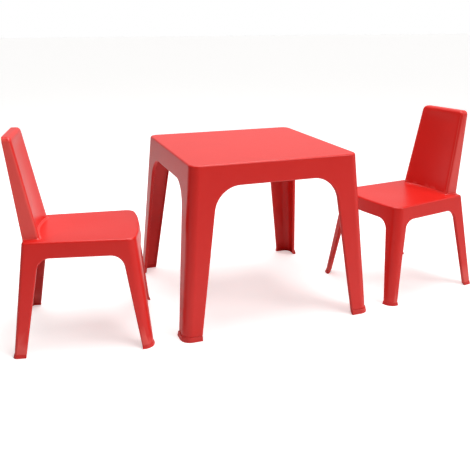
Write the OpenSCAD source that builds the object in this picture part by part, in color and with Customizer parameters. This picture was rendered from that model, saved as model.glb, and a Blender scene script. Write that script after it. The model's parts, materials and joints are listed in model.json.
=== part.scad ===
// Nursery set: one square moulded table and two matching moulded chairs.
// Each item is a single thin-walled moulding, open underneath, that stands on
// four clip-on foot glides. The origin is on the floor under the middle of the
// table. X runs along the row chair - table - chair, and Z is up.

/* [Table] */
// Height of the table top above the floor
table_height = 480; // [420:1:560]
// Width and depth of the table top
table_side = 490; // [440:1:600]
// Outer width of the legs at the floor
table_foot_side = 576; // [540:1:680]
// Radius of the upright corners of the table
table_corner_r = 26; // [16:1:36]
// Height of the apron under the table top
table_apron = 60; // [45:1:90]
// Radius of the arch between apron and leg
table_arch_r = 75; // [40:1:90]
// Width of one arm of a leg at the floor
table_arm_foot = 54; // [44:1:70]
// Width of one arm of a leg where the arch begins
table_arm_top = 74; // [64:1:90]

/* [Chair seat] */
// Height of the seat above the floor
seat_height = 302; // [260:1:340]
// Depth of the seat from its back edge to its front corners
seat_depth = 290; // [260:1:340]
// Width of the seat at its back edge
seat_back_width = 244; // [230:1:280]
// Width of the seat at its front corners
seat_front_width = 266; // [240:1:300]
// How far the front edge bows out past the front corners
seat_bow = 9; // [0:1:16]
// Radius of the front corners of the seat
seat_front_r = 26; // [18:1:34]
// Radius of the back corners of the seat
seat_back_r = 9; // [7:1:14]
// Height of the apron under the seat
seat_apron = 43; // [32:1:60]

/* [Chair legs] */
// How far the back feet stand behind the back edge of the seat
back_splay = 44; // [20:1:60]
// How far the front feet stand ahead of the front corners of the seat
front_splay = 30; // [15:1:50]
// Outer width across the back feet
back_foot_width = 330; // [300:1:360]
// Outer width across the front feet
front_foot_width = 338; // [306:1:370]
// Radius of the arch between seat apron and leg
seat_arch_r = 36; // [20:1:42]
// Width of one arm of a chair leg at the floor
chair_arm_foot = 31; // [28:1:44]
// Width of one arm of a chair leg where the arch begins
chair_arm_top = 43; // [38:1:56]
// Width at the floor of the narrow arm that each back leg has behind
back_arm_foot = 17; // [15:1:30]
// Width of that narrow arm where the arch begins
back_arm_top = 25; // [22:1:44]

/* [Backrest] */
// Height of the top of the backrest above the floor
back_height = 564; // [500:1:620]
// Width of the backrest at the seat
back_width_low = 194; // [170:1:206]
// Width of the backrest at its top
back_width_high = 168; // [140:1:180]
// Depth of the backrest at the seat
back_depth_low = 42; // [34:1:52]
// Depth of the backrest at its top
back_depth_high = 22; // [18:1:30]
// How far the top of the backrest leans behind its foot
back_lean = 25; // [10:1:50]
// Radius of the upper corners of the backrest, seen from the front
back_corner_r = 14; // [8:1:24]
// Depth of the hollow across the front of the backrest at the seat
back_dish_low = 14; // [6:0.5:18]
// Depth of that hollow at the top of the backrest
back_dish_high = 4.5; // [2:0.5:8]
// Width of the flat edge left at each side of that hollow
back_edge = 9; // [6:1:14]
// Radius of the upright front edges of the backrest at the seat
back_front_r = 8; // [5:0.5:10]
// Radius of the upright rear edges of the backrest at the seat
back_rear_r = 4; // [3:0.5:6]

/* [Moulding] */
// Wall thickness of the mouldings
wall = 3.5; // [2.5:0.1:4.5]
// Rounding of the top edges
edge_r = 5; // [3:0.5:7]
// Depth of the rim that turns inward along the arches
rim_depth = 10; // [8:0.5:12]
// Height of the stiffening ribs under the table top and the seat
rib_height = 12; // [6:1:20]
// Thickness of the stiffening ribs
rib_t = 2.5; // [1.5:0.1:3.5]
// Number of ribs each way under the table top
table_ribs = 4; // [2:1:7]
// Number of ribs across the underside of the seat
seat_cross_ribs = 4; // [2:1:6]
// Number of ribs from front to back under the seat
seat_long_ribs = 3; // [1:1:5]

/* [Foot glides] */
// Height of the table's glides
table_glide_h = 14; // [10:1:20]
// How far the table's glides stand proud of the legs
table_glide_out = 4; // [2:0.5:7]
// Height of the chairs' glides
chair_glide_h = 10; // [8:1:14]
// How far the chairs' glides stand proud of the legs
chair_glide_out = 2.5; // [1.5:0.5:4]
// Thickness of the sole of a glide
sole_t = 3; // [2:0.5:4]
// Thickness of the lip of a glide inside the leg
glide_in = 2.5; // [1.5:0.5:4]
// How much the outer face of a glide draws in towards its upper edge
glide_draft = 1.5; // [0.5:0.5:2]
// Gap between a glide and the moulding it clips over
glide_gap = 0.15; // [0.05:0.05:0.3]

/* [Layout] */
// Distance of each chair from the middle of the table, along X
chair_x = 511; // [500:1:700]
// How far the chairs stand ahead of the middle of the table
chair_y = 86; // [0:1:90]
// Angle by which the chairs are turned towards the front
chair_turn = 10; // [0:1:14]

/* [Hidden] */
$fn = 32;
eps = 0.01;
// Sizes of the shapes that only cut or clip: the bars through the walls, how
// far they run on below the floor, and a square wider than any one item
bar_length = 90;
below_floor = 20;
clip_side = 800;
// How far the straight edges of an arch are tucked into its circles, so that
// they cross the circles and don't only touch them
tuck = 0.03;
// The smallest radius that a corner keeps when it is grown inwards
least_r = 0.5;
CORNERS = ["front_left", "front_right", "back_left", "back_right"];
// Rounding inside the top edges, so that the wall keeps its thickness round them
inner_edge_r = max(edge_r - wall, least_r);
shell_colour = "#D9322E";
glide_colour = "#C42B28";

// A body is tapered between two outlines, at its top and at the floor. Each
// outline is the hull of discs, given as a list of [x, y, r].
table_top_at = table_side / 2 - table_corner_r;
table_foot_at = table_foot_side / 2 - table_corner_r;
table_top_discs = [for (sx = [-1, 1], sy = [-1, 1])
    [sx * table_top_at, sy * table_top_at, table_corner_r]];
table_foot_discs = [for (sx = [-1, 1], sy = [-1, 1])
    [sx * table_foot_at, sy * table_foot_at, table_corner_r]];
table = [table_top_discs, table_foot_discs, table_height];

// A chair's own frame has its origin on the floor under the middle of the seat,
// +X the way the sitter faces.
seat_back_x = -seat_depth / 2;
seat_front_x = seat_depth / 2;
foot_back_x = seat_back_x - back_splay;
foot_front_x = seat_front_x + front_splay;
function chair_outline(back_x, front_x, back_w, front_w) = concat(
    [for (s = [-1, 1]) [back_x + seat_back_r, s * (back_w / 2 - seat_back_r), seat_back_r]],
    [for (t = [-1:0.25:1])
        [front_x - seat_front_r + seat_bow * (1 - t * t),
         t * (front_w / 2 - seat_front_r), seat_front_r]]);
chair_top_discs = chair_outline(seat_back_x, seat_front_x, seat_back_width, seat_front_width);
chair_foot_discs = chair_outline(foot_back_x, foot_front_x, back_foot_width, front_foot_width);
chair = [chair_top_discs, chair_foot_discs, seat_height];

function mix(a, b, t) = a * (1 - t) + b * t;

// One disc of a body, at height z, with its radius grown by a given amount. A
// corner that shrinks past its own radius stays sharp and moves inwards.
module disc(body, i, z, grow) {
    t = z / body[2];
    c = mix(body[1][i], body[0][i], t);
    r = max(c[2] + grow, least_r);
    inwards = r - c[2] - grow;
    translate([c[0] - sign(c[0]) * inwards, c[1] - sign(c[1]) * inwards, z])
        cylinder(r = r, h = eps);
}

// The closed body, grown by a given amount, up to a given height. Its top edge
// is rounded by top_r, and it runs on below the floor by drop.
module body_solid(body, grow, z_top, top_r, drop = 0) {
    hull()
        for (i = [0:len(body[0]) - 1]) {
            for (a = [0:30:90])
                disc(body, i, z_top - top_r * (1 - sin(a)) - eps,
                    grow - top_r * (1 - cos(a)));
            disc(body, i, -drop, grow);
        }
}

// A slice of the body between two heights, for what fits round the feet
module foot_slice(body, grow, z_low, z_high, grow_high) {
    hull()
        for (i = [0:len(body[0]) - 1]) {
            disc(body, i, z_low, grow);
            disc(body, i, z_high - eps, grow_high);
        }
}

// An arch seen square on: two circles at its shoulders and the straight edges
// of the legs that run from them, as tangents, to the floor. feet and
// shoulders are [left, right] positions, and grow moves the edge into the wall.
module arch_outline(feet, shoulders, z_shoulder, r, grow) {
    low = -below_floor;
    big_r = r + grow;
    line_r = big_r - tuck;
    tips = [for (side = [0, 1])
        let (s = side == 0 ? -1 : 1,
             run = s * (feet[side] - shoulders[side]),
             reach = norm([run, z_shoulder]),
             turn = atan2(-z_shoulder, run) + acos(r / reach))
        [shoulders[side] + s * line_r * cos(turn), z_shoulder + line_r * sin(turn),
         shoulders[side] + s * (r * cos(turn) + (z_shoulder + r * sin(turn) - low)
             * sin(turn) / cos(turn) + (grow - tuck) / cos(turn)), low]];
    for (side = [0, 1])
        translate([shoulders[side], z_shoulder])
            circle(r = big_r, $fn = 96);
    polygon([[tips[0][2], tips[0][3]], [tips[0][0], tips[0][1]],
        [shoulders[0], z_shoulder], [shoulders[0], z_shoulder + big_r],
        [shoulders[1], z_shoulder + big_r], [shoulders[1], z_shoulder],
        [tips[1][0], tips[1][1]], [tips[1][2], tips[1][3]]]);
}

// The same arch as short bars, one through the wall on each of the given sides.
// The bars run outwards from inner, along Y or along X.
module arch_bars(along, sides, feet, shoulders, z_shoulder, r, inner, grow) {
    for (side = sides)
        rotate([0, 0, along == "y" ? 0 : -90])
            translate([0, side * (inner + bar_length / 2), 0])
                rotate([90, 0, 0])
                    linear_extrude(height = bar_length, center = true)
                        arch_outline(feet, shoulders, z_shoulder, r, grow);
}

// The arches of the table, alike on all four sides
table_arch_z = table_height - table_apron - table_arch_r;
table_arch_foot = table_foot_side / 2 - table_arm_foot;
table_arch_side = mix(table_foot_side, table_side, table_arch_z / table_height) / 2 - table_arm_top;
table_shoulder = table_arch_side - table_arch_r;
table_inner = table_side / 2 - rim_depth;
module table_arches(grow = 0) {
    for (along = ["x", "y"])
        arch_bars(along, [-1, 1], [-table_arch_foot, table_arch_foot],
            [-table_shoulder, table_shoulder], table_arch_z, table_arch_r, table_inner, grow);
}

// The arches of a chair: alike on its two sides, wider behind than in front
seat_arch_z = seat_height - seat_apron - seat_arch_r;
seat_arch_t = seat_arch_z / seat_height;
side_feet = [foot_back_x + chair_arm_foot, foot_front_x - chair_arm_foot];
side_shoulders = [mix(foot_back_x, seat_back_x, seat_arch_t) + chair_arm_top + seat_arch_r,
    mix(foot_front_x, seat_front_x, seat_arch_t) - chair_arm_top - seat_arch_r];
side_inner = seat_back_width / 2 - rim_depth;
cross_inner = seat_depth / 2 - rim_depth;
module cross_arch(side, foot_width, seat_width, arm_foot, arm_top, grow) {
    foot = foot_width / 2 - arm_foot;
    shoulder = mix(foot_width, seat_width, seat_arch_t) / 2 - arm_top - seat_arch_r;
    arch_bars("x", [side], [-foot, foot], [-shoulder, shoulder], seat_arch_z, seat_arch_r,
        cross_inner, grow);
}
module chair_arches(grow = 0) {
    arch_bars("y", [-1, 1], side_feet, side_shoulders, seat_arch_z, seat_arch_r, side_inner, grow);
    cross_arch(-1, back_foot_width, seat_back_width, back_arm_foot, back_arm_top, grow);
    cross_arch(1, front_foot_width, seat_front_width, chair_arm_foot, chair_arm_top, grow);
}

// Ribs that divide the underside of a plate evenly, cross_ribs along Y and
// long_ribs along X. Their length is reach, past the hollow they stand in.
module ribs(depth, width, cross_ribs, long_ribs, reach, z_plate) {
    pitch_x = depth / (cross_ribs + 1);
    pitch_y = width / (long_ribs + 1);
    into_plate = wall / 2;
    z_low = z_plate - rib_height;
    for (i = [1:cross_ribs])
        translate([i * pitch_x - depth / 2 - rib_t / 2, -reach / 2, z_low])
            cube([rib_t, reach, rib_height + into_plate]);
    for (j = [1:long_ribs])
        translate([-reach / 2, j * pitch_y - width / 2 - rib_t / 2, z_low])
            cube([reach, rib_t, rib_height + into_plate]);
}

// A thin-walled moulding: the body, hollowed from below but for the rims along
// its arches and the ribs under its plate, and cut off at the sole of the
// glides. The children are the arches, the arches grown by the wall, and the
// ribs.
module moulding(body) {
    height = body[2];
    difference() {
        body_solid(body, 0, height, edge_r);
        difference() {
            body_solid(body, -wall, height - wall, inner_edge_r, 1);
            difference() {
                children(1);
                body_solid(body, -rim_depth, height + 1, 0, 2);
            }
            children(2);
        }
        children(0);
        translate([-clip_side / 2, -clip_side / 2, sole_t - clip_side])
            cube(clip_side);
    }
}

// The table's moulding: top, apron and four angled legs in one piece
module table_shell() {
    color(shell_colour)
    moulding(table) {
        table_arches();
        table_arches(wall);
        ribs(table_side, table_side, table_ribs, table_ribs, table_side, table_height - wall);
    }
}

// The backrest as a closed block, grown by a given amount
module back_block(grow) {
    low_z = seat_height - wall / 2;
    hull() {
        for (s = [-1, 1]) {
            for (edge = [[seat_back_x + back_rear_r, back_rear_r], [back_front_low - back_front_r, back_front_r]])
                translate([edge[0], s * (back_width_low / 2 - edge[1]), low_z])
                    cylinder(r = max(edge[1] + grow, least_r), h = eps);
            translate([seat_back_x - back_lean + back_depth_high / 2,
                s * (back_width_high / 2 - back_corner_r), back_height - back_corner_r])
                rotate([0, 90, 0])
                    cylinder(r = back_corner_r + grow, h = back_depth_high + 2 * grow, center = true);
        }
    }
}

// The wide round that hollows the front of the backrest, set back by shift. It
// is deeper and tighter at the seat than at the top. Rounds are given as [x of
// the deepest point, radius], and run on past both ends of the backrest.
back_front_low = seat_back_x + back_depth_low;
back_front_high = seat_back_x - back_lean + back_depth_high;
function round_over(half, depth) = (half * half + depth * depth) / (2 * depth);
dish_low = [back_front_low - back_dish_low, round_over(back_width_low / 2 - back_edge, back_dish_low)];
dish_high = [back_front_high - back_dish_high,
    round_over(back_width_high / 2 - back_edge, back_dish_high)];
dish_rise = back_height - seat_height;
dish_past = 0.05;
module back_hollow(shift) {
    hull()
        for (t = [-dish_past, 1 + dish_past]) {
            edge = mix(dish_low, dish_high, t);
            translate([edge[0] - shift + edge[1], 0, seat_height + t * dish_rise])
                cylinder(r = edge[1], h = eps, $fn = 240);
        }
}

// A chair's backrest: a thin front with sides and top turned back, open behind
module backrest() {
    difference() {
        back_block(0);
        back_hollow(0);
        difference() {
            translate([-2 * wall, 0, 0])
                back_block(-wall);
            back_hollow(wall);
        }
    }
}

// A chair's moulding: seat, apron, legs and backrest in one piece
module chair_shell() {
    color(shell_colour)
    union() {
        moulding(chair) {
            chair_arches();
            chair_arches(wall);
            ribs(seat_depth, seat_back_width, seat_cross_ribs, seat_long_ribs,
                seat_depth + 2 * seat_bow, seat_height - wall);
        }
        backrest();
    }
}

// The quarter of the floor that one foot stands on, for clipping a glide
module quarter(corner) {
    sx = corner == "back_left" || corner == "back_right" ? -1 : 1;
    sy = corner == "front_left" || corner == "back_left" ? 1 : -1;
    translate([sx > 0 ? 0 : -clip_side, sy > 0 ? 0 : -clip_side, -clip_side / 2])
        cube(clip_side);
}

// One foot glide: a sole with a lip each side of the leg's wall. The slot for
// the wall is made from the same closed bodies as the moulding.
module glide(body, height, out, corner) {
    color(glide_colour)
    intersection() {
        difference() {
            foot_slice(body, out, 0, height, out - glide_draft);
            foot_slice(body, -wall - glide_in, -1, height + 1, -wall - glide_in);
            difference() {
                body_solid(body, glide_gap, body[2], 0);
                body_solid(body, -wall - glide_gap, body[2], 0, 1);
                translate([-clip_side / 2, -clip_side / 2, sole_t - clip_side])
                    cube(clip_side);
            }
            children();
        }
        quarter(corner);
    }
}

// What a glide leaves free: the opening of the arches, and above the sole the
// rim that turns inward along them
module glide_clearance(body) {
    intersection() {
        foot_slice(body, glide_gap, sole_t, below_floor + sole_t, glide_gap);
        children(1);
    }
    children(0);
}

module table_glide(corner) {
    glide(table, table_glide_h, table_glide_out, corner)
        glide_clearance(table) {
            table_arches();
            table_arches(wall + glide_gap);
        }
}

module chair_glide(corner) {
    glide(chair, chair_glide_h, chair_glide_out, corner)
        glide_clearance(chair) {
            chair_arches();
            chair_arches(wall + glide_gap);
        }
}

// Where a chair stands: number 1 on the left of the table, 2 on its right
module chair_place(number) {
    side = number == 1 ? -1 : 1;
    translate([side * chair_x, -chair_y, 0])
        rotate([0, 0, number == 1 ? -chair_turn : 180 + chair_turn])
            children();
}

table_shell();
for (corner = CORNERS)
    table_glide(corner);
for (number = [1, 2]) {
    chair_place(number) chair_shell();
    for (corner = CORNERS)
        chair_place(number) chair_glide(corner);
}
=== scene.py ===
"""The looks of a nursery set: one square moulded table and two matching chairs.

Every moulding is a thin wall of glossy polypropylene, open underneath, on four
clip-on foot glides. Sizes are in millimetres until a piece is finished, and a
chair is modelled in its own frame: origin on the floor under the middle of the
seat, +X the way the sitter faces.
"""

import json
import logging
import math
from dataclasses import dataclass, field
from enum import Enum
from typing import Callable, Iterable, Sequence

import bmesh
import bpy
from bmesh.types import BMEdge, BMesh, BMFace, BMVert
from mathutils import Matrix, Vector

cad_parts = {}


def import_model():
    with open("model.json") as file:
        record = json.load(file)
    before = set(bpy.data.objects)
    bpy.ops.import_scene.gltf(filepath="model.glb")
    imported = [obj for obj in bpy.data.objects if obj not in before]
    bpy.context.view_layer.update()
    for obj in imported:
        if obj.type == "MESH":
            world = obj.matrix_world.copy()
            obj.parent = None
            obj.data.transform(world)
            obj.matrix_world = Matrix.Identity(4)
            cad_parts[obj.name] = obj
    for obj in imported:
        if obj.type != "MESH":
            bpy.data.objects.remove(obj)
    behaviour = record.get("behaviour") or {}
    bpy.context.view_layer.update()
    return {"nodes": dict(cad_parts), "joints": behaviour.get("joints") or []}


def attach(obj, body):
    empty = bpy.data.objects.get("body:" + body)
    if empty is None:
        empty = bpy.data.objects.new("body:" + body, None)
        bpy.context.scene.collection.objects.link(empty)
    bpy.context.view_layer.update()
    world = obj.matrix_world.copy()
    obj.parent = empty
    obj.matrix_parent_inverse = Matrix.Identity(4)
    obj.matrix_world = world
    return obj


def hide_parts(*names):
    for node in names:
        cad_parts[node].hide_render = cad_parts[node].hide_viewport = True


LOG = logging.getLogger("nursery_set")
MM = 0.001
WELD = 0.05
WHITE = (1.0, 1.0, 1.0, 1.0)


class Slot(Enum):
    """The record's material slots."""

    MOULDING = "moulding"
    GLIDE = "glide"


class Corner(Enum):
    """The four corners of an item, as (sign of X, sign of Y) in its own frame.

    Front is towards +X, on the table as on a chair.
    """

    front_left = (1, 1)
    front_right = (1, -1)
    back_left = (-1, 1)
    back_right = (-1, -1)


# --- small helpers ----------------------------------------------------------


def mix(a: float, b: float, t: float) -> float:
    """Returns the value a share t of the way from a to b."""
    return a * (1 - t) + b * t


def srgb(hex_colour: str) -> tuple[float, float, float, float]:
    """Turns an sRGB hex colour into linear RGBA.

    Args:
        hex_colour: Six hex digits after a hash.

    Returns:
        The linear colour with an alpha of 1.
    """
    parts = [int(hex_colour[i:i + 2], 16) / 255 for i in (1, 3, 5)]
    linear = [c / 12.92 if c <= 0.04045 else ((c + 0.055) / 1.055) ** 2.4 for c in parts]
    return (linear[0], linear[1], linear[2], 1.0)


def weld(bm: BMesh, verts: Iterable[BMVert] | None = None) -> None:
    """Merges vertices that lie on each other."""
    bmesh.ops.remove_doubles(bm, verts=list(verts or bm.verts), dist=WELD)


def bevel(bm: BMesh, edges: Sequence[BMEdge], offset: float, segments: int) -> None:
    """Rounds edges.

    Args:
        bm: The mesh.
        edges: The edges to round.
        offset: How far the round reaches into the faces beside it.
        segments: The number of faces across the round.
    """
    bmesh.ops.bevel(bm, geom=list(edges), offset=offset, offset_type="OFFSET", segments=segments,
                    profile=0.5, affect="EDGES", clamp_overlap=False, material=-1)
    bm.normal_update()


def chain_on(bm: BMesh, start: BMVert, points: Iterable[Vector]) -> list[BMVert]:
    """Extrudes a vertex through points.

    Args:
        bm: The mesh.
        start: The vertex to start from.
        points: Where each further vertex goes.

    Returns:
        The start and the new vertices, in order.
    """
    chain = [start]
    for point in points:
        made = bmesh.ops.extrude_vert_indiv(bm, verts=[chain[-1]])["verts"][0]
        made.co = point
        chain.append(made)
    return chain


def edge_between(a: BMVert, b: BMVert) -> BMEdge:
    """Returns the edge that joins two vertices."""
    return next(e for e in a.link_edges if e.other_vert(a) == b)


def strip_from(bm: BMesh, chain: Sequence[BMVert],
               target: Callable[[BMVert], Vector]) -> dict[BMVert, BMVert]:
    """Extrudes a chain of edges into a strip of faces.

    Args:
        bm: The mesh.
        chain: The vertices of the chain, in order.
        target: Gives where the copy of a vertex goes.

    Returns:
        The new vertex for each vertex of the chain.
    """
    where = {v: target(v) for v in chain}
    edges = [edge_between(a, b) for a, b in zip(chain, chain[1:])]
    made = bmesh.ops.extrude_edge_only(bm, edges=edges)["geom"]
    fresh = [g for g in made if isinstance(g, BMVert)]
    pairs: dict[BMVert, BMVert] = {}
    for v in chain:
        new = next(e.other_vert(v) for e in v.link_edges if e.other_vert(v) in fresh)
        pairs[v] = new
    for v, new in pairs.items():
        new.co = where[v]
    return pairs


def boundary_walk(edges: Sequence[BMEdge]) -> list[list[BMVert]]:
    """Orders loose edges into chains.

    Args:
        edges: Edges that form open chains.

    Returns:
        The vertices of each chain, from one end to the other.
    """
    left, chains = set(edges), []
    degree: dict[BMVert, int] = {}
    for e in edges:
        for v in e.verts:
            degree[v] = degree.get(v, 0) + 1
    for tip in sorted((v for v, n in degree.items() if n == 1), key=lambda v: tuple(v.co)):
        chain, at = [tip], tip
        while True:
            step = next((e for e in at.link_edges if e in left), None)
            if step is None:
                break
            left.discard(step)
            at = step.other_vert(at)
            chain.append(at)
        if len(chain) > 1:
            chains.append(chain)
    return chains


# --- the finishes -----------------------------------------------------------


class Nodes:
    """A material's node tree, with one way to add a node."""

    def __init__(self, name: str) -> None:
        """Starts a material of that name with an empty tree."""
        self.material = bpy.data.materials.new(name)
        self.material.use_nodes = True
        self.tree = self.material.node_tree
        self.tree.nodes.clear()

    def add(self, kind: str, settings: dict | None = None, **links: object) -> bpy.types.Node:
        """Adds a node.

        Args:
            kind: The node's type name, without the ShaderNode in front.
            settings: Attributes of the node.
            **links: A value or an output socket for each input, by name, with
                spaces written as underscores.

        Returns:
            The new node.
        """
        node = self.tree.nodes.new("ShaderNode" + kind)
        for key, value in (settings or {}).items():
            setattr(node, key, value)
        for key, value in links.items():
            numbered = key[0] == "i" and key[1:].isdigit()
            socket = node.inputs[int(key[1:]) if numbered else key.replace("_", " ")]
            if isinstance(value, bpy.types.NodeSocket):
                self.tree.links.new(value, socket)
            else:
                socket.default_value = value
        return node


@dataclass(frozen=True)
class MouldedPolypropylene:
    """Injection-moulded polypropylene, coloured through, from a tool with a fine
    spark-eroded grain. It gives the eye a waxy, even colour, soft wide highlights
    that waver a little over the ribs and thick places, and pale rubbed edges."""

    name: str = "moulded_polypropylene"
    body: str = "#DF241C"
    deep: str = "#D81F18"
    rubbed: str = "#F06A62"
    roughness: float = 0.33
    grain_mm: float = 0.9  # the real grain is about 0.1 mm, drawn coarser so that it shows
    flow_mm: float = 85.0  # spacing of the slow waves that cooling leaves in the skin
    scuff_mm: float = 26.0  # length of the fine rubs that use leaves
    grain_depth_mm: float = 0.02
    flow_depth_mm: float = 0.35

    def make(self) -> bpy.types.Material:
        """Returns the material."""
        n = Nodes(self.name)
        place = n.add("TexCoord").outputs["Object"]
        flow = n.add("TexNoise", Vector=place, Scale=1 / (self.flow_mm * MM), Detail=2.0, Roughness=0.4)
        grain = n.add("TexNoise", Vector=place, Scale=1 / (self.grain_mm * MM), Detail=3.0, Roughness=0.6)
        cells = n.add("TexVoronoi", {"feature": "SMOOTH_F1"}, Vector=place,
                      Scale=1 / (self.grain_mm * 1.6 * MM), Smoothness=0.6)
        turned = n.add("Mapping", Vector=place, Scale=(1.0, 9.0, 1.0), Rotation=(0.0, 0.0, math.radians(24)))
        scuffs = n.add("TexNoise", Vector=turned.outputs[0], Scale=1 / (self.scuff_mm * MM), Detail=6.0,
                       Roughness=0.75)
        scuff_mask = n.add("MapRange", Value=scuffs.outputs["Fac"], From_Min=0.60, From_Max=0.74, To_Min=0.0,
                           To_Max=1.0)
        colour = n.add("MixRGB", Fac=flow.outputs["Fac"], Color1=srgb(self.deep), Color2=srgb(self.body))
        edges = n.add("NewGeometry")
        rub = n.add("MapRange", Value=edges.outputs["Pointiness"], From_Min=0.53, From_Max=0.62, To_Min=0.0,
                    To_Max=0.45)
        rubbed = n.add("MixRGB", Fac=rub.outputs[0], Color1=colour.outputs[0], Color2=srgb(self.rubbed))
        rough = n.add("MapRange", Value=grain.outputs["Fac"], From_Min=0.3, From_Max=0.7,
                      To_Min=self.roughness - 0.04, To_Max=self.roughness + 0.05)
        rough_used = n.add("MixRGB", Fac=scuff_mask.outputs[0], Color1=rough.outputs[0],
                           Color2=(self.roughness + 0.16,) * 3 + (1.0,))
        height = n.add("Math", {"operation": "ADD"}, i0=grain.outputs["Fac"], i1=cells.outputs["Distance"])
        waves = n.add("Bump", Strength=0.5, Distance=self.flow_depth_mm * MM, Height=flow.outputs["Fac"])
        bump = n.add("Bump", Strength=0.35, Distance=self.grain_depth_mm * MM, Height=height.outputs[0],
                     Normal=waves.outputs[0])
        shader = n.add("BsdfPrincipled", Base_Color=rubbed.outputs[0], Roughness=rough_used.outputs[0],
                       Normal=bump.outputs[0], IOR=1.49, Specular_IOR_Level=0.42, Coat_Weight=0.05,
                       Coat_Roughness=0.3)
        n.add("OutputMaterial", Surface=shader.outputs[0])
        return n.material


@dataclass(frozen=True)
class MouldedElastomer:
    """A softer moulded elastomer for the foot glides, in the same red. It is a
    little duller than the shells, and scuffed grey-pink where it slides."""

    name: str = "moulded_elastomer"
    body: str = "#D62B27"
    worn: str = "#C9665F"
    roughness: float = 0.42
    grain_mm: float = 1.2  # drawn coarser than the real grain so that it shows
    wear_height_mm: float = 2.2  # how far up from the floor the scuffs reach

    def make(self) -> bpy.types.Material:
        """Returns the material."""
        n = Nodes(self.name)
        place = n.add("TexCoord").outputs["Object"]
        grain = n.add("TexNoise", Vector=place, Scale=1 / (self.grain_mm * MM), Detail=4.0, Roughness=0.6)
        patch = n.add("TexNoise", Vector=place, Scale=1 / (14 * MM), Detail=3.0, Roughness=0.55)
        height = n.add("SeparateXYZ", Vector=place).outputs["Z"]
        low = n.add("MapRange", Value=height, From_Min=0.0, From_Max=self.wear_height_mm * MM, To_Min=0.8,
                    To_Max=0.0)
        worn = n.add("Math", {"operation": "MULTIPLY"}, i0=low.outputs[0], i1=patch.outputs["Fac"])
        colour = n.add("MixRGB", Fac=worn.outputs[0], Color1=srgb(self.body), Color2=srgb(self.worn))
        rough = n.add("MapRange", Value=grain.outputs["Fac"], From_Min=0.3, From_Max=0.7,
                      To_Min=self.roughness - 0.05, To_Max=self.roughness + 0.06)
        bump = n.add("Bump", Strength=0.4, Distance=0.03 * MM, Height=grain.outputs["Fac"])
        shader = n.add("BsdfPrincipled", Base_Color=colour.outputs[0], Roughness=rough.outputs[0],
                       Normal=bump.outputs[0], IOR=1.50)
        n.add("OutputMaterial", Surface=shader.outputs[0])
        return n.material


@dataclass(frozen=True)
class StudioPaper:
    """Seamless white background paper: matt, with a barely visible tooth. It
    glows a little to the camera only, so it stays white without lighting the set."""

    name: str = "studio_paper"
    colour: str = "#F7F6F5"
    glow: float = 0.5

    def make(self) -> bpy.types.Material:
        """Returns the material."""
        n = Nodes(self.name)
        place = n.add("TexCoord").outputs["Object"]
        tooth = n.add("TexNoise", Vector=place, Scale=1 / (1.5 * MM), Detail=2.0)
        bump = n.add("Bump", Strength=0.1, Distance=0.05 * MM, Height=tooth.outputs["Fac"])
        seen = n.add("LightPath").outputs["Is Camera Ray"]
        glow = n.add("Math", {"operation": "MULTIPLY"}, i0=seen, i1=self.glow)
        shader = n.add("BsdfPrincipled", Base_Color=srgb(self.colour), Roughness=0.9, Normal=bump.outputs[0],
                       Emission_Color=srgb(self.colour), Emission_Strength=glow.outputs[0])
        n.add("OutputMaterial", Surface=shader.outputs[0])
        return n.material


# --- arched walls -----------------------------------------------------------


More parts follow.
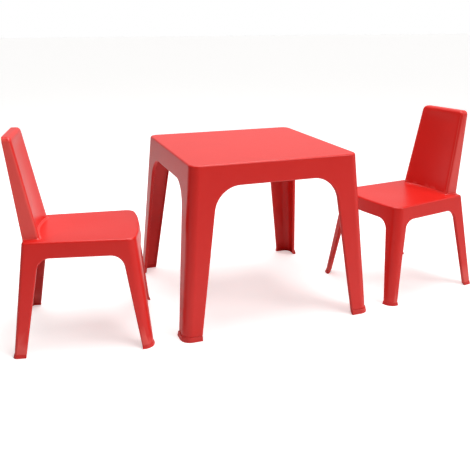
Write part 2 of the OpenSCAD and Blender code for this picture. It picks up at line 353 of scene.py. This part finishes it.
@dataclass(frozen=True)
class HalfArch:
    """One half of a wall with an arch, seen square on: a leg and half the apron.

    side is +1 or -1, foot and shoulder are positions along the wall, middle is
    where the two halves meet, and corner gives the wall's own edge at a height.
    """

    side: int
    foot: float
    shoulder: float
    middle: float
    z_shoulder: float
    radius: float
    z_foot: float
    z_top: float
    corner: Callable[[float], float]
    leg_rows: int = 6
    low_steps: int = 5
    high_steps: int = 6

    def make(self, bm: BMesh, place: Callable[[float, float], Vector]) -> None:
        """Adds this half to a mesh.

        Args:
            bm: The mesh.
            place: Puts a point (along the wall, height) on the body.
        """
        run = self.side * (self.foot - self.shoulder)
        reach = math.hypot(run, self.z_shoulder)
        touch = math.atan2(-self.z_shoulder, run) + math.acos(self.radius / reach)
        centre = Vector((self.shoulder, 0.0, self.z_shoulder))

        def on_arc(angle: float) -> Vector:
            """Returns the point of the arch's round at an angle above level."""
            return centre + self.radius * Vector((self.side * math.cos(angle), 0.0, math.sin(angle)))

        tangent = on_arc(touch)
        slope = (tangent.x - self.foot) / tangent.z
        first = bm.verts.new((self.foot + slope * self.z_foot, 0.0, self.z_foot))
        ups = [(i + 1) / self.leg_rows for i in range(self.leg_rows)]
        leg = chain_on(bm, first, [first.co.lerp(tangent, t) for t in ups])
        half = math.pi / 4
        lower = self._spin(bm, leg[-1], centre, half - touch, self.low_steps)
        upper = self._spin(bm, lower[-1], centre, half, self.high_steps)
        end = chain_on(bm, upper[-1], [Vector((self.middle, 0.0, upper[-1].co.z))])
        low_chain = leg + lower[1:]
        high_chain = upper + end[1:]
        heights = [mix(self.z_foot, self.z_shoulder, i / self.leg_rows) for i in range(self.leg_rows + 1)]
        heights += [self.z_shoulder + self.radius * math.sin(half * (i + 1) / self.low_steps)
                    for i in range(self.low_steps)]
        rung = dict(zip(low_chain, heights))
        outer = strip_from(bm, low_chain, lambda v: Vector((self.corner(rung[v]), 0.0, rung[v])))
        top = strip_from(bm, high_chain, lambda v: Vector((v.co.x, 0.0, self.z_top)))
        split = low_chain[-1]
        beside = strip_from(bm, [split, outer[split]],
                            lambda v: Vector((split.co.x if v is split else self.corner(self.z_top), 0.0, self.z_top)))
        flat = set(low_chain) | set(high_chain)
        flat |= set(outer.values()) | set(top.values()) | set(beside.values())
        for v in flat:
            v.co = place(v.co.x, v.co.z)

    def _spin(self, bm: BMesh, start: BMVert, centre: Vector, angle: float, steps: int) -> list[BMVert]:
        """Spins a vertex round the arch's centre and returns the chain."""
        before = set(bm.verts)
        bmesh.ops.spin(bm, geom=[start], cent=centre, axis=(0.0, -self.side, 0.0), dvec=(0.0, 0.0, 0.0),
                       angle=angle, steps=steps, use_duplicate=False)
        fresh = set(bm.verts) - before
        chain = [start]
        while True:
            step = next((e.other_vert(chain[-1]) for e in chain[-1].link_edges
                         if e.other_vert(chain[-1]) in fresh and e.other_vert(chain[-1]) not in chain), None)
            if step is None:
                return chain
            chain.append(step)


# --- sections swept along a foot --------------------------------------------


@dataclass
class Trail:
    """A path along a leaning wall, with the wall's outward normals."""

    points: list[Vector]
    normals: list[Vector]

    @classmethod
    def along(cls, chain: Sequence[BMVert]) -> "Trail":
        """Reads a trail from a chain of vertices on a skin."""
        return cls([v.co.copy() for v in chain], [v.normal.copy() for v in chain])

    def at(self, i: int, out: float, z: float) -> Vector:
        """Returns the point beside vertex i, out from the wall, at height z."""
        flat = Vector((self.normals[i].x, self.normals[i].y, 0.0))
        size = max(flat.length, 0.2)
        lean = self.normals[i].z / size
        return Vector((*(self.points[i] + flat.normalized() * (out - (z - self.points[i].z) * lean)).xy, z))

    def sweep(self, bm: BMesh, section: Sequence[tuple[float, float]]) -> list[BMFace]:
        """Sweeps a closed section along the trail as a solid.

        Args:
            bm: The mesh to add to.
            section: The (outwards, height) points of the section, in order.

        Returns:
            The faces of the solid.
        """
        before = set(bm.faces)
        count = len(self.points)
        start = bm.verts.new(self.at(0, *section[0]))
        ring = chain_on(bm, start, [self.at(i, *section[0]) for i in range(1, count)])
        for step in (*section[1:], section[0]):
            row = {v: i for i, v in enumerate(ring)}
            pairs = strip_from(bm, ring, lambda v: self.at(row[v], *step))
            ring = [pairs[v] for v in ring]
        faces = [f for f in bm.faces if f not in before]
        bmesh.ops.remove_doubles(bm, verts=list({v for f in faces for v in f.verts}), dist=0.001)
        faces = [f for f in bm.faces if f not in before]
        bmesh.ops.holes_fill(bm, edges=[e for f in faces for e in f.edges if e.is_boundary], sides=0)
        faces = [f for f in bm.faces if f not in before]
        bmesh.ops.recalc_face_normals(bm, faces=faces)
        return faces


def arc_points(cx: float, cz: float, r: float, start: float, end: float,
               steps: int) -> list[tuple[float, float]]:
    """Returns points on an arc of a section, from one angle to another in degrees."""
    angles = [math.radians(mix(start, end, i / steps)) for i in range(steps + 1)]
    return [(cx + r * math.cos(a), cz + r * math.sin(a)) for a in angles]


@dataclass
class Glide:
    """An L-shaped clip-on foot: a sole with a lip each side of the leg's wall."""

    height: float
    out: float
    wall: float
    lip_height: float
    draft: float = 1.5
    lip: float = 2.5
    sole: float = 3.0
    gap: float = 0.15
    round_mm: float = 0.9

    def section(self) -> list[tuple[float, float]]:
        """Returns the clip's section, as (outwards from the wall, height)."""
        r, o, h = self.round_mm, self.out, self.height
        inner = -self.wall - self.lip
        slim = o - self.draft
        return [
            *arc_points(o - r, r, r, -90, 0, 3),
            *arc_points(slim - r, h - r, r, 0, 75, 3),
            (self.gap, h - 0.1),
            (self.gap, self.sole),
            (-self.wall - self.gap, self.sole),
            (-self.wall - self.gap, self.lip_height - 0.1),
            *arc_points(inner + r, self.lip_height - r, r, 105, 180, 3),
            *arc_points(inner + r, r, r, 180, 270, 3),
        ]

    def make(self, bm: BMesh, trail: Trail) -> None:
        """Adds the glide along the foot of a leg."""
        self_faces = trail.sweep(bm, self.section())
        caps = [f for f in self_faces if len(f.verts) > 6]
        rim = {e for f in caps for e in f.edges}
        bevel(bm, [e for e in rim if e.is_valid and e.calc_face_angle(0.0) > 0.8], 0.5, 2)


# --- finished pieces --------------------------------------------------------


@dataclass
class Piece:
    """A finished piece: its mesh, finish and the CAD node it stands for."""

    name: str
    body: str
    slot: Slot
    material: bpy.types.Material
    thickness: float = 0.0
    edge_bevel: float = 0.0

    def finish(self, bm: BMesh, place: Matrix) -> bpy.types.Object:
        """Turns a mesh into the piece, in metres and in the set's frame.

        Args:
            bm: The mesh in millimetres. It is freed.
            place: The item's own frame to the set's, in metres.

        Returns:
            The object.
        """
        bmesh.ops.transform(bm, matrix=place @ Matrix.Scale(MM, 4), verts=bm.verts)
        bm.normal_update()
        for face in bm.faces:
            face.smooth = True
        mesh = bpy.data.meshes.new(self.name + "_look")
        bm.to_mesh(mesh)
        bm.free()
        mesh.materials.append(self.material)
        thing = bpy.data.objects.new(self.name + "_look", mesh)
        bpy.context.scene.collection.objects.link(thing)
        if self.thickness:
            wall = thing.modifiers.new("wall", "SOLIDIFY")
            wall.thickness = self.thickness * MM
            wall.offset = -1.0
            wall.use_even_offset = True
            wall.use_rim = True
            wall.thickness_clamp = 0.0
        if self.edge_bevel:
            soft = thing.modifiers.new("soft_edges", "BEVEL")
            soft.width = self.edge_bevel * MM
            soft.segments = 2
            soft.limit_method = "ANGLE"
            soft.angle_limit = math.radians(55)
            soft.use_clamp_overlap = True
        even = thing.modifiers.new("even_shading", "WEIGHTED_NORMAL")
        even.weight = 60
        even.keep_sharp = True
        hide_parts(self.name)
        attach(thing, self.body)
        LOG.info("%s: %d faces", thing.name, len(mesh.polygons))
        return thing


@dataclass
class Moulding:
    """What the table's and the chairs' mouldings share: wall, rims and ribs."""

    wall: float = 3.5
    edge_r: float = 5.0
    rim_depth: float = 10.0
    rib_height: float = 12.0
    rib: float = 2.5
    sole: float = 3.0

    def top_face(self, bm: BMesh, z: float) -> BMFace:
        """Fills the plate across the walls and returns its face."""
        rim = [e for e in bm.edges if e.is_boundary and all(abs(v.co.z - z) < WELD for v in e.verts)]
        bmesh.ops.edgeloop_fill(bm, edges=rim)
        face = max(bm.faces, key=lambda f: f.calc_area())
        bmesh.ops.recalc_face_normals(bm, faces=bm.faces)
        bm.normal_update()
        if face.normal.z < 0:
            bmesh.ops.reverse_faces(bm, faces=bm.faces)
        bm.normal_update()
        return face

    def round_upright(self, bm: BMesh, wanted: Callable[[Vector], bool], offset: float,
                      segments: int) -> None:
        """Rounds the upright corners whose middle passes a test."""
        edges = []
        for e in bm.edges:
            rise = abs(e.verts[0].co.z - e.verts[1].co.z)
            middle = (e.verts[0].co + e.verts[1].co) / 2
            if rise > 0.5 * e.calc_length() and e.calc_face_angle(0.0) > 0.7 and wanted(middle):
                edges.append(e)
        bevel(bm, edges, offset, segments)

    def round_top(self, bm: BMesh, offset: float, segments: int, z: float) -> None:
        """Rounds the edge between the plate and the walls.

        Args:
            bm: The skin.
            offset: How far the round reaches into the plate and the walls.
            segments: The number of faces across the round.
            z: The height of the plate.
        """
        geom = [*bm.verts, *bm.edges, *bm.faces]
        bmesh.ops.bisect_plane(bm, geom=geom, dist=0.01, plane_co=(0, 0, z - 3 * offset), plane_no=(0, 0, 1))
        bm.normal_update()
        edges = [e for e in bm.edges
                 if e.calc_face_angle(0.0) > 0.9 and any(f.normal.z > 0.99 for f in e.link_faces)]
        bevel(bm, edges, offset, segments)

    def feet(self, bm: BMesh) -> list[list[BMVert]]:
        """Returns the chain of vertices along the bottom of each leg."""
        low = [e for e in bm.edges if e.is_boundary and all(v.co.z < self.sole + WELD for v in e.verts)]
        return boundary_walk(low)

    def turn_rims(self, bm: BMesh, offset: float) -> None:
        """Turns a rim inwards along the arches and rounds the edge between.

        Args:
            bm: The skin.
            offset: How far the round reaches into the wall and the rim.
        """
        arches: dict[tuple[int, int], list[BMEdge]] = {}
        for e in bm.edges:
            if e.is_boundary and any(v.co.z > self.sole + WELD for v in e.verts):
                n = e.link_faces[0].normal
                key = (int(math.copysign(1, n.x)), 0) if abs(n.x) > abs(n.y) else (0, int(math.copysign(1, n.y)))
                arches.setdefault(key, []).append(e)
        for (sx, sy), edges in sorted(arches.items()):
            made = bmesh.ops.extrude_edge_only(bm, edges=edges)["geom"]
            bmesh.ops.translate(bm, verts=[g for g in made if isinstance(g, BMVert)],
                                vec=(-sx * self.rim_depth, -sy * self.rim_depth, 0.0))
        bm.normal_update()
        bevel(bm, [e for group in arches.values() for e in group if e.is_valid], offset, 4)

    def ribs(self, bm: BMesh, outline: Sequence[float], counts: tuple[int, int], z_plate: float,
             rounds: tuple[float, float]) -> list[BMVert]:
        """Adds the grid of ribs under a plate.

        Args:
            bm: The mesh to add to.
            outline: The grid's (back, front, half width behind, half width in front).
            counts: The number of ribs along Y and along X.
            z_plate: The height of the plate's underside.
            rounds: How much the corners are rounded, behind and in front.

        Returns:
            The ribs' vertices.
        """
        back, front, half_back, half_front = outline
        before = set(bm.verts)
        faces_before = set(bm.faces)
        bmesh.ops.create_grid(bm, x_segments=counts[0] + 1, y_segments=counts[1] + 1, size=0.5)
        fresh = [v for v in bm.verts if v not in before]
        for v in fresh:
            t = v.co.x + 0.5
            half_width = mix(half_back, half_front, t)
            v.co = Vector((mix(back, front, t), 2 * v.co.y * half_width, z_plate + self.wall / 2))
        for corner in [v for v in fresh if len(v.link_edges) == 2]:
            bmesh.ops.bevel(bm, geom=[corner], offset=rounds[int(corner.co.x > 0)], offset_type="OFFSET",
                            segments=4, profile=0.5, affect="VERTICES", material=-1)
        cells = [f for f in bm.faces if f not in faces_before]
        bmesh.ops.inset_individual(bm, faces=cells, thickness=self.rib / 2, use_even_offset=True)
        bmesh.ops.delete(bm, geom=cells, context="FACES")
        flats = [f for f in bm.faces if f not in faces_before]
        made = bmesh.ops.extrude_face_region(bm, geom=flats, use_keep_orig=True)["geom"]
        bmesh.ops.translate(bm, verts=[g for g in made if isinstance(g, BMVert)],
                            vec=(0.0, 0.0, -self.rib_height - self.wall / 2))
        bmesh.ops.recalc_face_normals(bm, faces=[f for f in bm.faces if f not in faces_before])
        return [v for v in bm.verts if v not in before]

    def thicken(self, bm: BMesh, faces: Sequence[BMFace]) -> None:
        """Gives a skin its wall, on the inner side."""
        bmesh.ops.solidify(bm, geom=list(faces), thickness=self.wall)
        bm.normal_update()


@dataclass
class Table(Moulding):
    """The square table: a plate with an apron and four angled legs."""

    height: float = 480.0
    side: float = 490.0
    foot_side: float = 576.0
    corner_r: float = 26.0
    apron: float = 60.0
    arch_r: float = 75.0
    arm_foot: float = 54.0
    arm_top: float = 74.0
    rib_count: int = 4
    glide: Glide = field(default_factory=lambda: Glide(height=14.0, out=4.0, wall=3.5, lip_height=8.0))

    def half(self, z: float) -> float:
        """Returns half the outer width at a height."""
        return mix(self.foot_side, self.side, z / self.height) / 2

    def skin(self) -> BMesh:
        """Returns the four walls and the plate, with their corners rounded."""
        bm = bmesh.new()
        z_arch = self.height - self.apron - self.arch_r
        foot = self.foot_side / 2 - self.arm_foot
        shoulder = self.half(z_arch) - self.arm_top - self.arch_r
        for quarter in range(4):
            turn = Matrix.Rotation(quarter * math.pi / 2, 3, "Z")
            for s in (-1, 1):
                half_arch = HalfArch(side=s, foot=s * foot, shoulder=s * shoulder, middle=0.0, z_shoulder=z_arch,
                                     radius=self.arch_r, z_foot=self.sole, z_top=self.height,
                                     corner=lambda z, s=s: s * self.half(z), low_steps=10, high_steps=10)
                half_arch.make(bm, lambda u, z, turn=turn: turn @ Vector((u, -self.half(z), z)))
        weld(bm)
        self.top_face(bm, self.height)
        self.round_upright(bm, lambda p: True, self.corner_r, 14)
        self.round_top(bm, self.edge_r * 0.93, 6, self.height)
        return bm

    def make(self, moulding: bpy.types.Material, soft: bpy.types.Material) -> None:
        """Builds the table's moulding and its four glides."""
        here = Matrix.Identity(4)
        bm = self.skin()
        feet = [Trail.along(chain) for chain in self.feet(bm)]
        self.turn_rims(bm, 4.5)
        self.thicken(bm, bm.faces)
        inside = self.side / 2 - self.wall + 1.5
        self.ribs(bm, (-inside, inside, inside, inside), (self.rib_count, self.rib_count), self.height - self.wall,
                  (self.corner_r, self.corner_r))
        Piece("table_shell", "table", Slot.MOULDING, moulding, edge_bevel=0.6).finish(bm, here)
        for trail in feet:
            corner = nearest_corner(trail)
            bm = bmesh.new()
            self.glide.make(bm, trail)
            Piece(f"table_glide_{corner.name}", "table", Slot.GLIDE, soft).finish(bm, here)


def nearest_corner(trail: Trail) -> Corner:
    """Returns the corner that a foot's trail belongs to."""
    mean = sum(trail.points, Vector()) / len(trail.points)
    return Corner((1 if mean.x > 0 else -1, 1 if mean.y > 0 else -1))


@dataclass
class Backrest:
    """A reclined shell, hollow across its front and open behind."""

    seat_z: float
    seat_back_x: float
    top_z: float = 564.0
    width_low: float = 194.0
    width_high: float = 168.0
    depth_low: float = 42.0
    depth_high: float = 22.0
    lean: float = 25.0
    corner_r: float = 14.0
    front_r: float = 8.0
    dish_low: float = 14.0
    dish_high: float = 4.5
    edge: float = 9.0
    into_seat: float = 2.5
    fillet_r: float = 4.5
    fade: float = 34.0  # height over which the hollow runs out below the top edge
    cell: float = 8.0  # size of the faces that carry the hollow

    def share(self, z: float) -> float:
        """Returns how far up the backrest a height is, from 0 to 1."""
        return (z - self.seat_z) / (self.top_z - self.seat_z)

    def half(self, z: float) -> float:
        """Returns half the backrest's width at a height."""
        return mix(self.width_low, self.width_high, self.share(z)) / 2

    def front(self, z: float) -> float:
        """Returns the X of the front face's edges at a height."""
        low = self.seat_back_x + self.depth_low
        return mix(low, self.seat_back_x - self.lean + self.depth_high, self.share(z))

    def rear(self, z: float) -> float:
        """Returns the X of the rear edges at a height."""
        return mix(self.seat_back_x, self.seat_back_x - self.lean, self.share(z))

    def hollow(self, y: float, z: float) -> float:
        """Returns how deep the front is hollowed at a point."""
        reach = y / (self.half(z) - self.edge)
        depth = mix(self.dish_low, self.dish_high, max(0.0, self.share(z)))
        run_out = min(1.0, max(0.0, (self.top_z - self.front_r - z) / self.fade))
        return depth * max(0.0, 1 - reach * reach) ** 1.15 * run_out * (2 - run_out)

    def make(self, bm: BMesh, shell: Moulding) -> None:
        """Adds the backrest and the fillet at its foot to the chair.

        Args:
            bm: The chair's mesh.
            shell: The moulding that it belongs to, for its wall.
        """
        low_z = self.seat_z - self.into_seat
        faces_before = set(bm.faces)
        block = bmesh.ops.create_cube(bm, size=2.0)["verts"]
        for v in block:
            z = self.top_z if v.co.z > 0 else low_z
            v.co = Vector((self.front(z) if v.co.x > 0 else self.rear(z), v.co.y * self.half(z), z))
        bm.normal_update()
        own = [f for f in bm.faces if f not in faces_before]
        gone = [f for f in own if f.normal.z < -0.9 or f.normal.x < -0.9]
        bmesh.ops.delete(bm, geom=gone, context="FACES")
        own = [f for f in bm.faces if f not in faces_before]
        top = next(f for f in own if f.normal.z > 0.9)
        ridges = [e for e in top.edges if abs(e.verts[0].co.y - e.verts[1].co.y) < 1.0]
        bevel(bm, ridges, self.corner_r, 8)
        own = [f for f in bm.faces if f not in faces_before]
        face = max(own, key=lambda f: f.calc_area())
        bevel(bm, [e for e in face.edges if not e.is_boundary], self.front_r, 7)
        own = [f for f in bm.faces if f not in faces_before]
        face = max(own, key=lambda f: f.calc_area())
        self._grid(bm, face)
        own = [f for f in bm.faces if f not in faces_before]
        for v in {v for f in own for v in f.verts}:
            facing = any(f.normal.x > 0.9 for f in v.link_faces)
            if facing:
                v.co.x -= self.hollow(v.co.y, v.co.z)
        bm.normal_update()
        foot = [e for f in own for e in f.edges
                if e.is_boundary and all(v.co.z < low_z + WELD for v in e.verts)]
        trail = Trail.along(boundary_walk(sorted(set(foot), key=lambda e: e.index))[0])
        shell.thicken(bm, own)
        r, z = self.fillet_r, self.seat_z
        trail.sweep(bm, [*arc_points(r, z + r, r, 180, 270, 5), (r, z - 1.4), (-1.5, z - 1.4), (-1.5, z + r)])

    def _grid(self, bm: BMesh, face: BMFace) -> None:
        """Cuts the front into a grid of small faces."""
        flats = [face]
        low, high = self.half(self.seat_z) - self.front_r, self.half(self.top_z) - self.front_r
        rise = self.top_z - self.seat_z
        cuts = [(Vector((0, low * s, self.seat_z)), Vector((0, rise, (low - high) * s)))
                for s in self._steps(-1.0, 1.0, round(2 * low / self.cell))]
        cuts += [(Vector((0, 0, z)), Vector((0, 0, 1)))
                 for z in self._steps(self.seat_z, self.top_z - self.front_r, round(rise / self.cell))]
        for where, normal in cuts:
            geom = [g for f in flats for g in (f, *f.edges, *f.verts)]
            cut = bmesh.ops.bisect_plane(bm, geom=list(dict.fromkeys(geom)), dist=0.3, plane_co=where,
                                         plane_no=normal)
            flats = [g for g in cut["geom"] if isinstance(g, BMFace)]

    def _steps(self, low: float, high: float, count: int) -> list[float]:
        """Returns the places that divide a stretch into a count of equal parts."""
        return [mix(low, high, i / count) for i in range(1, count)]


@dataclass
class Chair(Moulding):
    """A child's chair: seat, apron, legs and backrest in one moulding."""

    height: float = 302.0
    depth: float = 290.0
    back_width: float = 244.0
    front_width: float = 266.0
    bow: float = 9.0
    front_r: float = 26.0
    back_r: float = 9.0
    apron: float = 43.0
    back_splay: float = 44.0
    front_splay: float = 30.0
    back_foot_width: float = 330.0
    front_foot_width: float = 338.0
    arch_r: float = 36.0
    arm_foot: float = 31.0
    arm_top: float = 43.0
    back_arm_foot: float = 17.0
    back_arm_top: float = 25.0
    dish: float = 1.4
    rings: int = 11
    cross_ribs: int = 4
    long_ribs: int = 3
    glide: Glide = field(default_factory=lambda: Glide(height=10.0, out=2.5, wall=3.5, lip_height=6.5,
                                                       round_mm=0.7))

    def back_x(self, z: float) -> float:
        """Returns the X of the back wall at a height."""
        return -self.depth / 2 - self.back_splay * (1 - z / self.height)

    def front_x(self, z: float) -> float:
        """Returns the X of the front wall's corners at a height."""
        return self.depth / 2 + self.front_splay * (1 - z / self.height)

    def back_half(self, z: float) -> float:
        """Returns half the width behind at a height."""
        return mix(self.back_foot_width, self.back_width, z / self.height) / 2

    def front_half(self, z: float) -> float:
        """Returns half the width in front at a height."""
        return mix(self.front_foot_width, self.front_width, z / self.height) / 2

    def side_y(self, x: float, z: float) -> float:
        """Returns how far out a side wall is."""
        back, front = self.back_x(z) + self.back_r, self.front_x(z) - self.front_r
        return mix(self.back_half(z), self.front_half(z), (x - back) / (front - back))

    def bowed_x(self, y: float, z: float) -> float:
        """Returns the X of the bowed front wall."""
        reach = y / (self.front_half(z) - self.front_r)
        return self.front_x(z) + self.bow * (1 - reach * reach)

    def front_corner(self, z: float) -> tuple[float, float]:
        """Returns where a side wall would meet the front wall."""
        x = self.front_x(z)
        for _ in range(12):
            x = self.bowed_x(self.side_y(x, z), z)
        return x, self.side_y(x, z)

    def walls(self, bm: BMesh) -> None:
        """Adds the four arched walls."""
        z_arch = self.height - self.apron - self.arch_r
        t = z_arch / self.height
        back = self.back_x(z_arch) + self.arm_top + self.arch_r
        front = self.front_x(z_arch) - self.arm_top - self.arch_r
        common = {"z_shoulder": z_arch, "radius": self.arch_r, "z_foot": self.sole, "z_top": self.height,
                  "low_steps": 7, "high_steps": 7}
        for s in (-1, 1):
            HalfArch(side=-1, foot=self.back_x(0) + self.arm_foot, shoulder=back, middle=(back + front) / 2,
                     corner=self.back_x, **common).make(
                bm, lambda x, z, s=s: Vector((x, s * self.side_y(x, z), z)))
            HalfArch(side=1, foot=self.front_x(0) - self.arm_foot, shoulder=front, middle=(back + front) / 2,
                     corner=lambda z: self.front_corner(z)[0], **common).make(
                bm, lambda x, z, s=s: Vector((x, s * self.side_y(x, z), z)))
            behind = mix(self.back_foot_width, self.back_width, t) / 2 - self.back_arm_top - self.arch_r
            HalfArch(side=s, foot=s * (self.back_foot_width / 2 - self.back_arm_foot), shoulder=s * behind, middle=0.0,
                     corner=lambda z, s=s: s * self.side_y(self.back_x(z), z), **common).make(
                bm, lambda y, z: Vector((self.back_x(z), y, z)))
            ahead = mix(self.front_foot_width, self.front_width, t) / 2 - self.arm_top - self.arch_r
            HalfArch(side=s, foot=s * (self.front_foot_width / 2 - self.arm_foot), shoulder=s * ahead, middle=0.0,
                     corner=lambda z, s=s: s * self.front_corner(z)[1], **common).make(
                bm, lambda y, z: Vector((self.bowed_x(y, z), y, z)))
        weld(bm)

    def sunk(self, x: float, y: float) -> float:
        """Returns how deep the seat is dished at a point."""
        away = ((x - 14) / 120) ** 2 + (y / 106) ** 2
        return self.dish * max(0.0, 1 - away) ** 2

    def skin(self) -> BMesh:
        """Returns the walls and the dished seat, with their corners rounded."""
        bm = bmesh.new()
        self.walls(bm)
        self.top_face(bm, self.height)
        self.round_upright(bm, lambda p: p.x > 0, self.front_r * 0.9, 12)
        self.round_upright(bm, lambda p: p.x < 0, self.back_r * 0.95, 6)
        self.round_top(bm, self.edge_r * 0.93, 6, self.height)
        plate = max(bm.faces, key=lambda f: f.calc_area())
        ring_size = 1.0
        for i in range(self.rings):
            wanted = 1 - (i + 1) / (self.rings + 1)
            bmesh.ops.inset_region(bm, faces=[plate], thickness=0.0)
            bmesh.ops.scale(bm, verts=plate.verts, vec=(wanted / ring_size, wanted / ring_size, 1.0))
            ring_size = wanted
        bm.normal_update()
        for v in bm.verts:
            if v.co.z > self.height - WELD:
                v.co.z -= self.sunk(v.co.x, v.co.y)
        bm.normal_update()
        return bm

    def make(self, number: int, place: Matrix, moulding: bpy.types.Material,
             soft: bpy.types.Material) -> None:
        """Builds one chair.

        Args:
            number: Which chair it is.
            place: Its own frame to the set's, in metres.
            moulding: The finish of the shell.
            soft: The finish of the glides.
        """
        body = f"chair_{number}"
        bm = self.skin()
        feet = [Trail.along(chain) for chain in self.feet(bm)]
        self.turn_rims(bm, 3.8)
        self.thicken(bm, bm.faces)
        outline = (-self.depth / 2 + 2, self.depth / 2 - 2, self.back_width / 2 - 2, self.front_width / 2 - 2)
        for v in self.ribs(bm, outline, (self.cross_ribs, self.long_ribs), self.height - self.wall,
                           (self.back_r, self.front_r)):
            v.co.z -= self.sunk(v.co.x, v.co.y)
        Backrest(seat_z=self.height, seat_back_x=-self.depth / 2).make(bm, self)
        Piece(f"{body}_shell", body, Slot.MOULDING, moulding, edge_bevel=0.6).finish(bm, place)
        for trail in feet:
            corner = nearest_corner(trail)
            bm = bmesh.new()
            self.glide.make(bm, trail)
            Piece(f"{body}_glide_{corner.name}", body, Slot.GLIDE, soft).finish(bm, place)

    def stand(self, node: bpy.types.Object, facing: Sequence[float]) -> Matrix:
        """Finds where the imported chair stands.

        Args:
            node: The chair's shell in the frame.
            facing: The direction that its sitter faces.

        Returns:
            The chair's own frame to the set's, in metres.
        """
        turn = Matrix.Rotation(math.atan2(facing[1], facing[0]), 4, "Z")
        back = turn.inverted()
        own = [back @ v.co for v in node.data.vertices]
        behind = min(p.x for p in own) - self.back_x(self.sole) * MM
        middle = (min(p.y for p in own) + max(p.y for p in own)) / 2
        return turn @ Matrix.Translation((behind, middle, 0.0))


# --- the studio -------------------------------------------------------------


@dataclass
class Studio:
    """Seamless paper, soft lights and the camera."""

    paper_size: float = 60.0
    softbox_size: float = 1.8
    softbox_power: float = 54.0
    softbox_at: tuple[float, float, float] = (0.15, 0.25, 2.5)
    key_strength: float = 1.5
    key_angle: float = 40.0
    key_from: tuple[float, float, float] = (0.52, -0.62, 0.70)
    bright_side: tuple[float, float, float] = (0.75, 0.66, 0.0)
    room_dim: float = 0.1
    room_bright: float = 0.55
    room_fade: tuple[float, float] = (-0.3, 0.9)
    camera_at: tuple[float, float, float] = (-0.6670, -1.7513, 0.8376)
    camera_pitch: float = 19.17
    camera_yaw: float = 19.82
    lens_mm: float = 47.67
    sensor_mm: float = 36.0

    def floor(self, paper: bpy.types.Material) -> None:
        """Lays the paper on the floor."""
        bm = bmesh.new()
        bmesh.ops.create_grid(bm, x_segments=4, y_segments=4, size=self.paper_size / 2)
        mesh = bpy.data.meshes.new("floor")
        bm.to_mesh(mesh)
        bm.free()
        mesh.materials.append(paper)
        floor = bpy.data.objects.new("floor", mesh)
        bpy.context.scene.collection.objects.link(floor)

    def softbox(self) -> None:
        """Hangs the overhead softbox."""
        lamp = bpy.data.lights.new("overhead", "AREA")
        lamp.shape = "SQUARE"
        lamp.size = self.softbox_size
        lamp.energy = self.softbox_power
        thing = bpy.data.objects.new("overhead", lamp)
        thing.location = self.softbox_at
        bpy.context.scene.collection.objects.link(thing)

    def key(self) -> None:
        """Sets the key light: a wide, far source in front, to the right."""
        lamp = bpy.data.lights.new("key", "SUN")
        lamp.energy = self.key_strength
        lamp.angle = math.radians(self.key_angle)
        thing = bpy.data.objects.new("key", lamp)
        thing.rotation_euler = (-Vector(self.key_from)).to_track_quat("-Z", "Y").to_euler()
        bpy.context.scene.collection.objects.link(thing)

    def room(self) -> None:
        """Sets the room: bright behind and to the right, dim in front, and plain white to the camera."""
        world = bpy.data.worlds.new("white_room")
        world.use_nodes = True
        tree = world.node_tree
        background = tree.nodes["Background"]
        background.inputs["Color"].default_value = WHITE
        way = tree.nodes.new("ShaderNodeTexCoord")
        towards = tree.nodes.new("ShaderNodeVectorMath")
        towards.operation = "DOT_PRODUCT"
        towards.inputs[1].default_value = Vector(self.bright_side).normalized()
        ramp = tree.nodes.new("ShaderNodeMapRange")
        ramp.interpolation_type = "SMOOTHSTEP"
        ramp.inputs["From Min"].default_value, ramp.inputs["From Max"].default_value = self.room_fade
        ramp.inputs["To Min"].default_value = self.room_dim
        ramp.inputs["To Max"].default_value = self.room_bright
        tree.links.new(way.outputs["Generated"], towards.inputs[0])
        tree.links.new(towards.outputs["Value"], ramp.inputs["Value"])
        tree.links.new(ramp.outputs["Result"], background.inputs["Strength"])
        seen = tree.nodes.new("ShaderNodeBackground")
        path = tree.nodes.new("ShaderNodeLightPath")
        blend = tree.nodes.new("ShaderNodeMixShader")
        seen.inputs["Color"].default_value = WHITE
        tree.links.new(path.outputs["Is Camera Ray"], blend.inputs[0])
        tree.links.new(background.outputs[0], blend.inputs[1])
        tree.links.new(seen.outputs[0], blend.inputs[2])
        tree.links.new(blend.outputs[0], tree.nodes["World Output"].inputs["Surface"])
        bpy.context.scene.world = world

    def camera(self) -> None:
        """Places the camera."""
        eye = bpy.data.cameras.new("camera")
        eye.sensor_width = self.sensor_mm
        eye.lens = self.lens_mm
        eye.clip_end = self.paper_size
        thing = bpy.data.objects.new("camera", eye)
        thing.location = self.camera_at
        thing.rotation_euler = (math.radians(90 - self.camera_pitch), 0.0, math.radians(-self.camera_yaw))
        bpy.context.scene.collection.objects.link(thing)
        bpy.context.scene.camera = thing

    def make(self) -> None:
        """Sets the whole studio up."""
        self.floor(StudioPaper().make())
        self.softbox()
        self.key()
        self.room()
        self.camera()
        bpy.context.scene.view_settings.view_transform = "Standard"


def main() -> None:
    """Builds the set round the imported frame."""
    logging.basicConfig(level=logging.INFO, format="%(name)s: %(message)s")
    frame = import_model()
    moulding = MouldedPolypropylene().make()
    soft = MouldedElastomer().make()
    Table().make(moulding, soft)
    for joint in frame["joints"]:
        number = int(joint["child"].split("_")[1])
        chair = Chair()
        place = chair.stand(frame["nodes"][f"chair_{number}_shell"], joint["axis"])
        chair.make(number, place, moulding, soft)
    Studio().make()
    bpy.context.view_layer.update()


if __name__ == "__main__":
    main()
